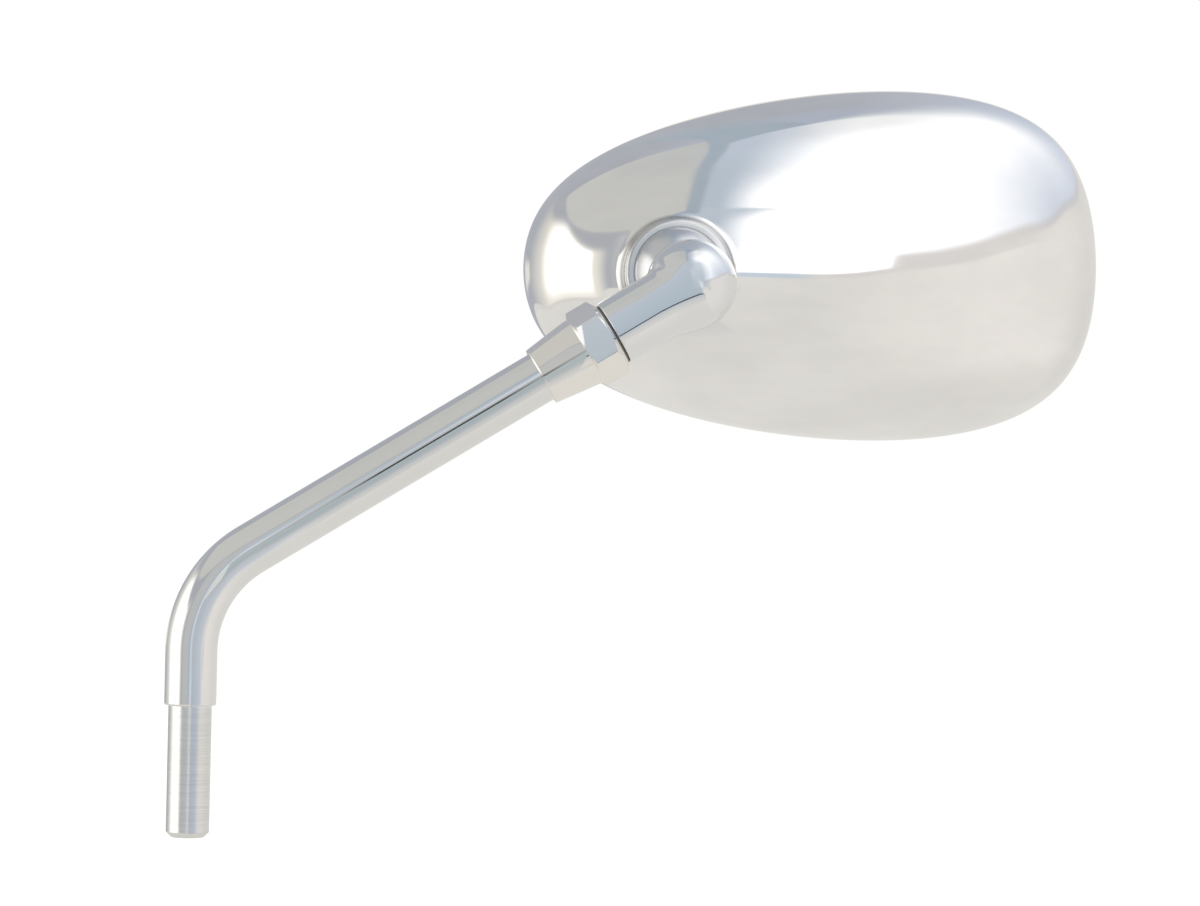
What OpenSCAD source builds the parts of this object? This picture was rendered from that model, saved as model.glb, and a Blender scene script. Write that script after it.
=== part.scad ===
// Left-hand motorcycle mirror on a bent steel stem.
// The origin is the centre of the shoulder where the clamp peg meets the thicker rod.
// +Z runs up the peg, +X points outboard along the arm and the glass looks along +Y.
// All lengths are in millimetres and all angles in degrees.

/* [Stem] */
// Diameter of the peg that the handlebar clamp grips
peg_d = 10; // [8:0.5:11]
// Length of the peg below the shoulder
peg_l = 30.5; // [20:0.5:45]
// Chamfer at the tip of the peg
peg_chamfer = 1.2; // [0.4:0.1:2]
// Diameter of the rod
rod_d = 12; // [11.5:0.1:12.5]
// Height of the bend's corner above the shoulder
corner_h = 28.1; // [24:0.1:45]
// Slope of the arm above the horizontal
arm_slope = 32; // [25:1:50]
// Radius of the bend on the rod's centre line
bend_r = 28; // [20:1:32]
// Distance along the arm from the corner to the elbow's face
arm_l = 113.4; // [90:0.1:150]

/* [Lock nut] */
// Diameter of the thread at the end of the rod
thread_d = 10; // [8:0.5:10.5]
// Width of the nut across its flats
nut_af = 17; // [16.6:0.1:18]
// Length of the nut's hexagon
nut_hex_l = 7.7; // [6:0.1:10]
// Length of the nut's tapered skirt
nut_skirt_l = 11.5; // [9:0.1:16]
// Diameter of the skirt at its narrow end
nut_skirt_d = 14; // [13.6:0.1:15]
// Turn of the hexagon about the arm
nut_turn = -5; // [-30:1:30]
// How far the nut can back off along its thread
nut_travel = 2.5; // [1:0.1:3]
// Thickness of the dark washer between nut and elbow
washer_t = 0.5; // [0.4:0.1:1]
// Diameter of the washer
washer_d = 15.4; // [14:0.1:15.6]

/* [Elbow] */
// Diameter of the elbow's leg
leg_d = 15.8; // [15.6:0.1:16.6]
// Length of the leg from its face to the axis of the neck
leg_l = 21.7; // [19:0.1:26]
// Turn of the neck about the arm, away from straight back
neck_turn = 14; // [4:1:18]
// Diameter of the round end of the elbow
bulb_d = 21.2; // [20.6:0.1:22]
// Set-back of the round end's centre from the arm's axis
bulb_back = 2.6; // [2:0.1:3]
// Radius of the hollow blend between leg and round end
bulb_fillet = 10; // [6:1:14]
// Depth of the threaded hole in the leg
leg_hole_l = 15; // [12:0.1:16]

/* [Ball joint] */
// Diameter of the ball
ball_d = 23; // [22.6:0.1:23.4]
// Distance from the arm's axis to the centre of the ball
ball_back = 19; // [18.5:0.1:21]
// Distance from the arm's axis to the flat where ball and elbow meet
seat_back = 9.5; // [9:0.1:10]
// Diameter of the shank that holds the ball in the elbow
shank_d = 8; // [6:0.5:9]
// Width of the key hole in the ball across its flats
key_af = 6; // [4:1:7]
// Thickness of the friction pad behind the ball
pad_t = 1; // [0.8:0.1:1.2]
// Half angle that the friction pad spans
pad_half = 30; // [22:1:32]
// Thickness of the spring cup behind its hollow
cup_floor = 2.3; // [1.6:0.1:3]
// Thickness of one disc spring
disc_t = 1; // [0.8:0.1:1.2]
// Height of the cone of one disc spring
disc_cone = 0.6; // [0.4:0.1:0.8]
// Thickness of the clamp plate
plate_t = 2.5; // [1.5:0.1:3]
// Number of screws that hold the clamp plate
plate_screws = 3; // [3:1:4]

/* [Housing] */
// Length of the housing at its rim
head_l = 141; // [136:0.5:152]
// Height of the housing at its rim
head_h = 85.8; // [82:0.2:94]
// Depth of the dome behind its rim
dome_l = 33; // [32:0.5:37]
// Wall of the housing
wall = 2.2; // [1.8:0.1:2.6]
// Fullness of the dome's shoulder, where 2 is an ellipse
dome_power = 2.5; // [2.2:0.1:3]
// How much blunter the rim is at its ends than an ellipse
rim_blunt = 0.0606; // [0:0.01:0.08]
// How much fuller the rim is at its outboard end
rim_egg = 0.109; // [0:0.01:0.13]
// Shift of the dome's highest point towards the stem
dome_shift = 8; // [0:1:12]
// Rise of the outboard end
head_rise = 2.2; // [0:0.1:4]
// Distance of the boss from the end of the housing on the stem's side
boss_end = 35.7; // [34.5:0.1:38]
// Distance of the boss below the middle of the housing
boss_low = 2.3; // [0:0.1:5]
// Depth of the ball's centre in front of the rim plane
ball_depth = 31.56; // [31:0.01:33]
// Diameter of the hole in the boss
boss_hole_d = 21.4; // [21:0.1:21.8]
// Diameter of the boss at its lip
boss_lip_d = 25.4; // [25:0.1:27]
// Radius of the hollow flare at the foot of the boss
boss_flare = 3.0; // [2.5:0.1:5]
// Height of the boss on its stem side, from lip to foot
boss_rise = 9; // [8:0.1:10]
// Wall of the tube that holds the spring cup
tube_wall = 2.2; // [1.8:0.1:2.6]

/* [Glass] */
// Radius of curvature of the convex glass
glass_r = 1200; // [1000:50:1600]
// Thickness of the glass
glass_t = 2; // [1.8:0.1:2.4]
// Thickness of the foam pad
foam_t = 1; // [0.6:0.1:1.4]
// Thickness of the glass carrier
carrier_t = 2; // [1.6:0.1:2.2]
// Width of the gasket outside the glass
gasket_w = 1.6; // [1.2:0.1:2]
// Width of the gasket's lips over the glass
gasket_lip = 1.5; // [1:0.1:2]
// Height of the gasket in its seat
gasket_h = 5.5; // [5.2:0.1:6]

/* [Hidden] */
$fn = 64;

chrome_c = [0.80, 0.81, 0.82];
steel_c = [0.62, 0.63, 0.65];
zinc_c = [0.72, 0.70, 0.62];
black_c = [0.10, 0.10, 0.11];
nylon_c = [0.88, 0.87, 0.82];
glass_c = [0.70, 0.78, 0.84];

// Clearance of parts that run on each other
run = 0.05;
// Clearance of parts that are dropped in
loose = 0.15;
// Overshoot of a cut beyond the face that it opens
cut = 1;
// Smallest overshoot, where a cut opens a flat end
open = 0.01;

peg_r = peg_d / 2;
rod_r = rod_d / 2;
rod_edge = 0.5;
seam = 1;
thread_r = thread_d / 2 - run;
thread_edge = 0.8;
thread_gap = 1;
leg_r = leg_d / 2;
leg_edge = 0.4;
blend_sink = 0.1;
bend_turn = 90 - arm_slope;
bend_reach = bend_r * tan(bend_turn / 2);

// Places along the arm, counted from the corner of the bend
nut_l = nut_skirt_l + nut_hex_l;
nut_at = arm_l - washer_t - nut_l;
nut_thread_l = 9.7;
nut_edge = 0.3;
nut_bevel = 0.45;
nut_root = 0.05;
end_gap = 0.5;
nut_step_at = arm_l - washer_t - nut_thread_l;
rod_end_at = nut_step_at - nut_travel - end_gap;
thread_end_at = arm_l + leg_hole_l - thread_gap;
neck_at = arm_l + leg_l;

bulb_r = bulb_d / 2;
ball_r = ball_d / 2;
shank_r = shank_d / 2;
shank_l = seat_back + 2;
shank_edge = 0.8;
key_l = 6.5;
seat_ring_r = ball_r + 3 * run;

// Places behind the centre of the ball, along the axis of the boss
pad_in_r = ball_r + run;
pad_out_r = pad_in_r + pad_t;
cup_in_r = pad_out_r + run;
cup_wall = 1.1;
cup_r = cup_in_r + cup_wall;
cup_front = 5;
cup_back = cup_in_r + cup_floor;
disc_r = 10.5;
cup_edge = 0.8;
pin_r = 5;
pin_edge = 0.6;
pin_proud = 1.2;
disc_hole_r = pin_r + loose;
disc_h = disc_t + disc_cone;
plate_front = cup_back + 2 * disc_h + run;
plate_back = plate_front + plate_t;
tube_in_r = cup_r + loose;
tube_r = tube_in_r + tube_wall;
boss_front = -sqrt(pow(seat_ring_r, 2) - pow(boss_hole_d / 2, 2));
lip_r = boss_lip_d / 2;
lip_round = 0.9;
hole_edge = 0.3;
tube_front = -5;
post_front = 1;
cup_gap = 0.2;
foot_sink = 5;

screw_r = 1.9;
core_r = 1.6;
pilot_r = core_r + run;
screw_head_r = 3.6;
screw_head_h = 2.2;
screw_round = 1;
screw_bite = 8;
screw_tip = 1;
screw_end_gap = 1.5;
slot_w = 0.9;
slot_l = 3.6;
slot_h = 1.2;
post_r = 3.8;
post_out = 2.4;
post_ring_r = tube_r + post_out;
plate_edge = 0.6;
post_first = 90;

// Rim outline: an ellipse with a blunt term and an egg term, whose top is found first
boss_in = head_l / 2 - boss_end;
rim_a = head_l / 2 / (1 - rim_blunt);
rim_c = -rim_blunt * rim_a;
rim_top = max([for (t = [0 : 90]) sin(t) + rim_egg * sin(2 * t)]);
rim_b = head_h / 2 / rim_top;
rim_d = rim_egg * rim_b;
rim_steps = 72;
dome_rings = 11;

glass_gap = wall + 0.1;
glass_in = glass_gap + gasket_w;
lip_in = glass_in + gasket_lip;
glass_top = 0.4;
gasket_top = -0.3;
ledge_at = gasket_top + gasket_h;
ledge_w = 2.2;
ledge_t = 1.4;
ledge_sink = 1;
carrier_in = lip_in + loose;
foam_inset = 0.8;
foam_in = carrier_in + foam_inset;
foam_at = glass_top + glass_t;
carrier_at = foam_at + foam_t;
carrier_back = carrier_at + carrier_t;
lens_steps = 12;
lens_r = head_l / 2 + 4;

// Screws of the carrier, from the middle of the housing
carrier_posts = [[48, 15], [48, -15], [2, 27], [2, -27]];
csk_r = 3.4;
csk_h = 1.7;
csk_sink = 0.2;

arm_x = cos(arm_slope);
arm_z = sin(arm_slope);
ball_c = [arm_x * neck_at - arm_z * sin(neck_turn) * ball_back,
          cos(neck_turn) * ball_back,
          corner_h + arm_z * neck_at + arm_x * sin(neck_turn) * ball_back];

// Frames

// Along the arm: z counts from the corner of the bend
module on_arm(at)
    translate([0, 0, corner_h]) rotate([0, bend_turn, 0]) translate([0, 0, at]) children();

// Along the neck: z counts from the arm's axis towards the ball
module on_neck(at)
    on_arm(neck_at) rotate([0, 0, neck_turn]) rotate([-90, 0, 0]) translate([0, 0, at]) children();

// The housing: x outboard, y up, z from the rim plane towards the dome
module in_head()
    translate(ball_c) rotate([0, -head_rise, 0]) rotate([90, 0, 0])
        translate([boss_in, boss_low, -ball_depth]) children();

// The boss: z counts from the ball's centre towards the glass
module in_boss()
    in_head() translate([-boss_in, -boss_low, ball_depth]) rotate([180, 0, 0]) children();

// Outlines and curves

function rim_point(t, inset, f) =
    [(rim_a - inset) * f * cos(t) + rim_c * pow(f, 3) * cos(3 * t),
     (rim_b - inset) * f * sin(t) + rim_d * pow(f, 2) * sin(2 * t)];

function rim_outline(inset) =
    [for (i = [0 : rim_steps - 1]) rim_point(360 * i / rim_steps, inset, 1)];

function arc(cx, cy, r, from, to, steps) =
    [for (i = [0 : steps]) let (t = from + (to - from) * i / steps)
        [cx + r * cos(t), cy + r * sin(t)]];

// Depth of the lens at a distance from its middle
function sag(r) = r * r / (2 * glass_r);

// The closed solid of the dome, for an outline moved in and a depth
module dome(inset, depth) {
    rings = [for (k = [0 : dome_rings - 1]) 90 * k / dome_rings];
    sides = [for (u = rings) for (i = [0 : rim_steps - 1])
        let (f = cos(u), p = rim_point(360 * i / rim_steps, inset, f))
            [p[0] - dome_shift * (1 - f * f), p[1], depth * pow(sin(u), 2 / dome_power)]];
    top = len(sides);
    function at(k, i) = k * rim_steps + (i % rim_steps);
    walls = [for (k = [0 : dome_rings - 2]) for (i = [0 : rim_steps - 1])
        for (tri = [[at(k, i), at(k + 1, i + 1), at(k, i + 1)],
                    [at(k, i), at(k + 1, i), at(k + 1, i + 1)]]) tri];
    crown = [for (i = [0 : rim_steps - 1]) [at(dome_rings - 1, i), top, at(dome_rings - 1, i + 1)]];
    floor_face = [[for (i = [0 : rim_steps - 1]) i]];
    polyhedron(concat(sides, [[-dome_shift, 0, depth]]), concat(walls, crown, floor_face));
}

// A sheet as thick as t that follows the lens, cut to the rim moved in
module lens_sheet(top, t, inset) {
    radii = [for (i = [0 : lens_steps]) lens_r * i / lens_steps];
    front = [for (r = radii) [r, top + sag(r)]];
    back = [for (i = [lens_steps : -1 : 0]) [radii[i], top + t + sag(radii[i])]];
    intersection() {
        rotate_extrude($fn = 96) polygon(concat(front, back));
        translate([0, 0, top - cut]) linear_extrude(t + sag(lens_r) + 2 * cut)
            polygon(rim_outline(inset));
    }
}

// A round screw: a head at z 0 and below, and a shank that reaches down to its bite
module pan_screw(grip) {
    rotate_extrude() polygon(concat(
        [[0, -screw_head_h]],
        arc(screw_head_r - screw_round, screw_round - screw_head_h, screw_round, -90, 0, 4),
        [[screw_head_r, 0], [screw_r, 0], [screw_r, grip], [core_r, grip],
         [core_r, grip + screw_bite - screw_tip], [core_r - screw_tip, grip + screw_bite],
         [0, grip + screw_bite]]));
}

// The cross for the screwdriver, cut from z 0 along +z
module cross_slot() {
    for (a = [0, 90]) rotate([0, 0, a])
        translate([-slot_l / 2, -slot_w / 2, -cut]) cube([slot_l, slot_w, slot_h + cut]);
}

// Stem: one rod, turned down to the peg at its foot and threaded at its top

// The straight parts reach into the bend by a thinner core, so that the rod is one solid
module stem() color(chrome_c) union() {
    bend_z = corner_h - bend_reach;
    rotate_extrude() polygon([[0, -peg_l], [peg_r - peg_chamfer, -peg_l], [peg_r, peg_chamfer - peg_l],
                              [peg_r, 0], [rod_r - rod_edge, 0], [rod_r, rod_edge], [rod_r, bend_z],
                              [rod_r - seam, bend_z], [rod_r - seam, bend_z + seam], [0, bend_z + seam]]);
    translate([bend_r, 0, bend_z]) rotate([90, 0, 0]) rotate([0, 0, arm_slope + 90])
        rotate_extrude(angle = bend_turn) translate([bend_r, 0]) circle(rod_r);
    on_arm(0) rotate_extrude() polygon([[0, bend_reach - seam], [rod_r - seam, bend_reach - seam],
                                        [rod_r - seam, bend_reach], [rod_r, bend_reach],
                                        [rod_r, rod_end_at - rod_edge], [rod_r - rod_edge, rod_end_at],
                                        [thread_r, rod_end_at], [thread_r, thread_end_at - thread_edge],
                                        [thread_r - thread_edge, thread_end_at], [0, thread_end_at]]);
}

// Lock nut and washer

module lock_washer() color(black_c)
    on_arm(arm_l - washer_t) difference() {
        cylinder(h = washer_t, d = washer_d);
        translate([0, 0, -cut]) cylinder(h = washer_t + 2 * cut, r = thread_d / 2 + loose);
    }

module lock_nut() color(chrome_c) {
    corner_r = nut_af / 2 / cos(30);
    face_r = nut_af / 2 - nut_bevel;
    root_r = nut_af / 2 - nut_root;
    slope = (corner_r + nut_root - face_r) * tan(30);
    hollow_r = rod_r + 2 * run;
    on_arm(nut_at) difference() {
        union() {
            rotate_extrude() polygon([[0, 0], [nut_skirt_d / 2 - nut_edge, 0], [nut_skirt_d / 2, nut_edge],
                                      [root_r, nut_skirt_l], [root_r, nut_skirt_l + slope],
                                      [0, nut_skirt_l + slope]]);
            translate([0, 0, nut_skirt_l]) intersection() {
                rotate([0, 0, nut_turn]) cylinder(h = nut_hex_l, r = corner_r, $fn = 6);
                rotate_extrude() polygon([[0, 0], [face_r, 0], [corner_r + nut_root, slope],
                                          [corner_r + nut_root, nut_hex_l - slope], [face_r, nut_hex_l],
                                          [0, nut_hex_l]]);
            }
        }
        translate([0, 0, -cut]) cylinder(h = nut_l + 2 * cut, r = thread_d / 2);
        translate([0, 0, -cut]) cylinder(h = nut_l - nut_thread_l + cut, r = hollow_r);
    }
}

// Elbow: a leg on the thread, a round end and a flat for the ball

module elbow() color(chrome_c) {
    lead = leg_l - sqrt(pow(bulb_r + bulb_fillet, 2) - pow(leg_r + bulb_fillet, 2));
    lean = atan(bulb_back / (leg_l - lead));
    span = norm([leg_l - lead, bulb_back]);
    foot_r = leg_r - blend_sink;
    mid_z = span - sqrt(pow(bulb_r + bulb_fillet, 2) - pow(foot_r + bulb_fillet, 2));
    meet = atan2(span - mid_z, foot_r + bulb_fillet);
    difference() {
        union() {
            on_arm(arm_l) rotate_extrude() polygon([[0, 0], [leg_r - leg_edge, 0], [leg_r, leg_edge],
                                                    [leg_r, leg_l], [0, leg_l]]);
            on_neck(bulb_back) rotate_extrude() polygon(arc(0, 0, bulb_r, -90, 90, 24));
            on_arm(arm_l + lead) rotate([0, 0, neck_turn]) rotate([-lean, 0, 0])
                rotate_extrude() polygon(concat([[0, mid_z]],
                    arc(foot_r + bulb_fillet, mid_z, bulb_fillet, 180, 180 - meet, 6),
                    [[0, span]]));
        }
        on_arm(arm_l - cut) cylinder(h = leg_hole_l + cut, r = thread_d / 2);
        on_neck(seat_back) cylinder(h = bulb_d, r = bulb_d);
        on_neck(seat_back - shank_l - end_gap) cylinder(h = shank_l + end_gap + cut, r = shank_r);
    }
}

// Ball stud: a ball with a flat, a shank into the elbow and a key hole behind

module ball_stud() color(steel_c) {
    flat_a = acos((ball_back - seat_back) / ball_r);
    on_neck(0) difference() {
        union() {
            translate([0, 0, ball_back])
                rotate_extrude() polygon(concat([[0, seat_back - ball_back]],
                                                arc(0, 0, ball_r, flat_a - 90, 90, 30)));
            translate([0, 0, seat_back - shank_l]) rotate_extrude()
                polygon([[0, 0], [shank_r - run - shank_edge, 0], [shank_r - run, shank_edge],
                         [shank_r - run, shank_l + 1], [0, shank_l + 1]]);
        }
        translate([0, 0, ball_back + ball_r - key_l])
            cylinder(h = key_l + cut, r = key_af / 2 / cos(30), $fn = 6);
    }
}

// Friction stack behind the ball

module friction_pad() color(nylon_c)
    in_boss() rotate_extrude() polygon(concat(arc(0, 0, pad_out_r, 90, 90 - pad_half, 10),
                                              arc(0, 0, pad_in_r, 90 - pad_half, 90, 10)));

module spring_cup() color(zinc_c) {
    open_a = asin(cup_front / cup_in_r);
    in_boss() rotate_extrude() polygon(concat(
        arc(0, 0, cup_in_r, 90, open_a, 14),
        [[cup_r, cup_front], [cup_r, cup_back - cup_edge], [cup_r - cup_edge, cup_back], [pin_r, cup_back],
         [pin_r, plate_back + pin_proud - pin_edge], [pin_r - pin_edge, plate_back + pin_proud],
         [0, plate_back + pin_proud]]));
}

// One disc spring: its outer edge stands disc_cone higher than its inner edge
module disc_spring()
    rotate_extrude() polygon([[disc_hole_r, 0], [disc_r, disc_cone], [disc_r, disc_cone + disc_t],
                              [disc_hole_r, disc_t]]);

module disc_spring_front() color(steel_c)
    in_boss() translate([0, 0, cup_back]) disc_spring();

module disc_spring_rear() color(steel_c)
    in_boss() translate([0, 0, cup_back + 2 * disc_h]) mirror([0, 0, 1]) disc_spring();

module plate_places() {
    for (i = [0 : plate_screws - 1])
        rotate([0, 0, post_first + 360 * i / plate_screws]) translate([post_ring_r, 0, 0]) children();
}

module clamp_plate() color(zinc_c)
    in_boss() difference() {
        union() {
            translate([0, 0, plate_front]) cylinder(h = plate_t, r = tube_r - plate_edge);
            plate_places() translate([0, 0, plate_front]) cylinder(h = plate_t, r = post_r + plate_edge);
        }
        translate([0, 0, plate_front - cut]) cylinder(h = plate_t + 2 * cut, r = pin_r + 2 * loose);
        plate_places() translate([0, 0, plate_front - cut])
            cylinder(h = plate_t + 2 * cut, r = screw_r + 2 * loose);
    }

module clamp_screws() color(steel_c)
    in_boss() plate_places() translate([0, 0, plate_back]) mirror([0, 0, 1]) difference() {
        pan_screw(plate_t);
        translate([0, 0, -screw_head_h]) cross_slot();
    }

// Housing: a domed shell with a boss for the ball and posts for the screws

module boss_outer() {
    foot_r = lip_r + boss_flare;
    foot_z = boss_front + boss_rise;
    rotate_extrude() polygon(concat(
        [[0, boss_front], [boss_hole_d / 2 + hole_edge, boss_front]],
        arc(lip_r - lip_round, boss_front + lip_round, lip_round, -90, 0, 5),
        arc(foot_r, foot_z - boss_flare, boss_flare, 180, 90, 6),
        [[foot_r, foot_z + foot_sink], [0, foot_z + foot_sink]]));
}

module carrier_post(p) {
    back = carrier_back + sag(norm(p) + post_r);
    translate([p[0], p[1], back]) difference() {
        cylinder(h = dome_l, r = post_r);
        translate([0, 0, -cut]) cylinder(h = screw_bite + screw_end_gap + cut, r = pilot_r);
    }
}

module housing() color(chrome_c) {
    difference() {
        union() {
            in_head() dome(0, dome_l);
            in_boss() boss_outer();
        }
        difference() {
            in_head() translate([0, 0, -open]) dome(wall, dome_l - wall);
            in_boss() translate([0, 0, tube_front]) cylinder(h = plate_front - tube_front, r = tube_r);
            in_boss() plate_places() translate([0, 0, post_front])
                cylinder(h = plate_front - post_front, r = post_r);
            in_head() for (p = carrier_posts) carrier_post(p);
            in_head() translate([0, 0, ledge_at]) difference() {
                linear_extrude(ledge_t) polygon(rim_outline(wall - ledge_sink));
                translate([0, 0, -cut]) linear_extrude(ledge_t + 2 * cut) polygon(rim_outline(wall + ledge_w));
            }
        }
        in_boss() sphere(seat_ring_r);
        in_boss() translate([0, 0, cup_front - cup_gap]) cylinder(h = plate_back, r = tube_in_r);
        in_boss() plate_places() translate([0, 0, plate_front - screw_bite - screw_end_gap])
            cylinder(h = screw_bite + screw_end_gap + cut, r = pilot_r);
        in_head() translate([0, 0, -cut]) linear_extrude(ledge_at + cut) polygon(rim_outline(wall));
    }
}

// Glass and what holds it

module glass_carrier() color(black_c)
    in_head() difference() {
        lens_sheet(carrier_at, carrier_t, carrier_in);
        for (p = carrier_posts) carrier_hole(p);
    }

module carrier_hole(p)
    translate([p[0], p[1], carrier_at + sag(norm(p))]) {
        translate([0, 0, -cut]) cylinder(h = carrier_t + 2 * cut, r = screw_r + loose);
        rotate_extrude() polygon([[0, -cut], [csk_r + loose, -cut], [csk_r + loose, csk_sink],
                                  [screw_r + loose, csk_h + csk_sink], [0, csk_h + csk_sink]]);
    }

module carrier_screws() color(steel_c)
    in_head() for (p = carrier_posts)
        translate([p[0], p[1], carrier_at + sag(norm(p)) + csk_sink]) difference() {
            rotate_extrude() polygon([[0, 0], [csk_r, 0], [core_r, csk_h],
                                      [core_r, carrier_t + screw_bite - screw_tip],
                                      [0, carrier_t + screw_bite]]);
            cross_slot();
        }

module foam_pad() color([0.25, 0.25, 0.26])
    in_head() lens_sheet(foam_at, foam_t, foam_in);

module mirror_glass() color(glass_c)
    in_head() lens_sheet(glass_top, glass_t, glass_in);

module glass_gasket() color(black_c)
    in_head() difference() {
        translate([0, 0, gasket_top]) difference() {
            linear_extrude(gasket_h) polygon(rim_outline(glass_gap));
            translate([0, 0, -cut]) linear_extrude(gasket_h + 2 * cut) polygon(rim_outline(lip_in));
        }
        lens_sheet(glass_top, glass_t, glass_in);
    }

stem();
lock_washer();
lock_nut();
elbow();
ball_stud();
friction_pad();
spring_cup();
disc_spring_front();
disc_spring_rear();
clamp_plate();
clamp_screws();
housing();
glass_carrier();
carrier_screws();
foam_pad();
mirror_glass();
glass_gasket();
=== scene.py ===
# %% [markdown]
# # A polished motorcycle mirror, seen from its back
# The mirror hangs on a bent rod. A round peg at the rod's foot goes into a clamp on the handlebar,
# and at the rod's top a nut locks an elbow, whose ball carries the domed housing. Nearly all of it
# is bright metal, so the picture is made of reflections: smooth surfaces and a well laid out studio
# matter more here than colours do.

# %% The frame that everything rides on
from math import acos, atan2, cos, degrees, log, pi, radians, sin, sqrt, tan

import bmesh
import bpy
import numpy as np
from mathutils import Matrix, Vector


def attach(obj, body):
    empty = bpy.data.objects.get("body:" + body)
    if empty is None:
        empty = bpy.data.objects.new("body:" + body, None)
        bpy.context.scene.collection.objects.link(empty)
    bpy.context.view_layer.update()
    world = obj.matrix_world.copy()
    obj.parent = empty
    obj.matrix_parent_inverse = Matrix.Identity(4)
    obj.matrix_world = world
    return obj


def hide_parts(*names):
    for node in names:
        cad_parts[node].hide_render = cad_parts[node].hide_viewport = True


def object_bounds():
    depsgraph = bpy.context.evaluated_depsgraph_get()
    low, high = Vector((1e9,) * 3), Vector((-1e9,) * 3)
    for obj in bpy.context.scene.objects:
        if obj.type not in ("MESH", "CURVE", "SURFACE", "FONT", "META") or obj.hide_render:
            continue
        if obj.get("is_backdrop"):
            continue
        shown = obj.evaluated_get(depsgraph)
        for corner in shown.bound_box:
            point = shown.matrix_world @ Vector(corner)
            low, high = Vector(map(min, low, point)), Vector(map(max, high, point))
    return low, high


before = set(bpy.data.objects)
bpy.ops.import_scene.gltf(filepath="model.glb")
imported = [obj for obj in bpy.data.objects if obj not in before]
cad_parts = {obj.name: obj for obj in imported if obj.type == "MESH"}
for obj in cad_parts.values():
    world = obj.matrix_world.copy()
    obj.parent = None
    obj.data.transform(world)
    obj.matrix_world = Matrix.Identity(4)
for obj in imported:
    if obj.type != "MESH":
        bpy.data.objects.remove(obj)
cad_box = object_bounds()
scene = bpy.context.scene


def link(name, data):
    """A new object in the scene, at the origin."""
    made = bpy.data.objects.new(name, data)
    scene.collection.objects.link(made)
    return made


def dress(mesh, material):
    """Gives a mesh one material in place of any that it has."""
    mesh.materials.clear()
    mesh.materials.append(material)


# %% [markdown]
# ## Sizes and places
# The sizes are those of the CAD part, in millimetres, and each place is built up in the same order
# of turns and shifts. A point on a piece is written in the piece's own frame, and one matrix takes
# it to the shared frame in metres.

# %% Sizes in millimetres
MM = 0.001
ARM_SLOPE, CORNER_H, BEND_R, ARM_L = 32.0, 28.1, 28.0, 113.4
PEG_R, PEG_L, PEG_CHAMFER, ROD_R = 5.0, 30.5, 1.2, 6.0
NUT_AF, NUT_HEX_L, NUT_SKIRT_L, NUT_SKIRT_R, NUT_TURN = 17.0, 7.7, 11.5, 7.0, -5.0
NUT_THREAD_L, NUT_TRAVEL, NUT_FACE_IN, WASHER_T, WASHER_R = 9.7, 2.5, 0.45, 0.5, 7.5
LEG_R, LEG_L, LEG_HOLE_L, NECK_TURN = 7.9, 21.7, 15.0, 14.0
BULB_R, BULB_BACK, SEAT_BACK, BALL_BACK, BALL_R = 10.6, 2.6, 9.5, 19.0, 11.58
HEAD_L, HEAD_H, DOME_L, WALL, DOME_POWER = 141.0, 85.8, 33.0, 2.2, 2.5
RIM_BLUNT, RIM_EGG, DOME_SHIFT, HEAD_RISE = 0.0606, 0.109, 8.0, 2.2
BOSS_IN, BOSS_LOW, BALL_DEPTH = 34.8, 2.3, 31.56
BOSS_HOLE_R, BOSS_LIP_R, LIP_ROUND, SEAT_R = 10.7, 12.7, 0.9, 11.65
TUBE_R, TUBE_IN_R, TUBE_END, CUP_STEP = 16.05, 13.85, 18.15, 4.8
GLASS_CURVE, GLASS_TOP, GLASS_T = 1200.0, 0.4, 2.0
GLASS_IN, GASKET_OUT, GASKET_IN, GASKET_TOP, GASKET_H = 3.9, 2.3, 5.4, -0.3, 5.5
LEDGE_AT, LEDGE_T, LEDGE_W = 5.2, 1.4, 2.2
THREAD_R, THREAD_PITCH, THREAD_DEPTH = 4.95, 1.25, 0.72

# %% Places, each as a matrix from a piece's own millimetres to the shared frame in metres
def turn(angle, axis):
    return Matrix.Rotation(radians(angle), 4, axis)


def shift(x, y, z):
    return Matrix.Translation((x, y, z))


def on_arm(at):
    """z counts along the arm from the corner of the bend."""
    return Matrix.Scale(MM, 4) @ shift(0, 0, CORNER_H) @ turn(90 - ARM_SLOPE, "Y") @ shift(0, 0, at)


NECK_AT = ARM_L + LEG_L
NECK = on_arm(NECK_AT) @ turn(NECK_TURN, "Z") @ turn(-90, "X")
BALL = NECK @ Vector((0, 0, BALL_BACK))
HEAD = (Matrix.Translation(BALL) @ Matrix.Scale(MM, 4) @ turn(-HEAD_RISE, "Y") @ turn(90, "X")
        @ shift(BOSS_IN, BOSS_LOW, -BALL_DEPTH))
print("ball centre in millimetres:", [round(v / MM, 3) for v in BALL])

# %% [markdown]
# ## The camera
# The photograph was solved for its camera: a long lens 0.9 m away, level with the middle of the
# mirror, turned 3 degrees round it and rolled a little. The camera is built from its three axes,
# because a roll is easiest to get right that way.

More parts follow.
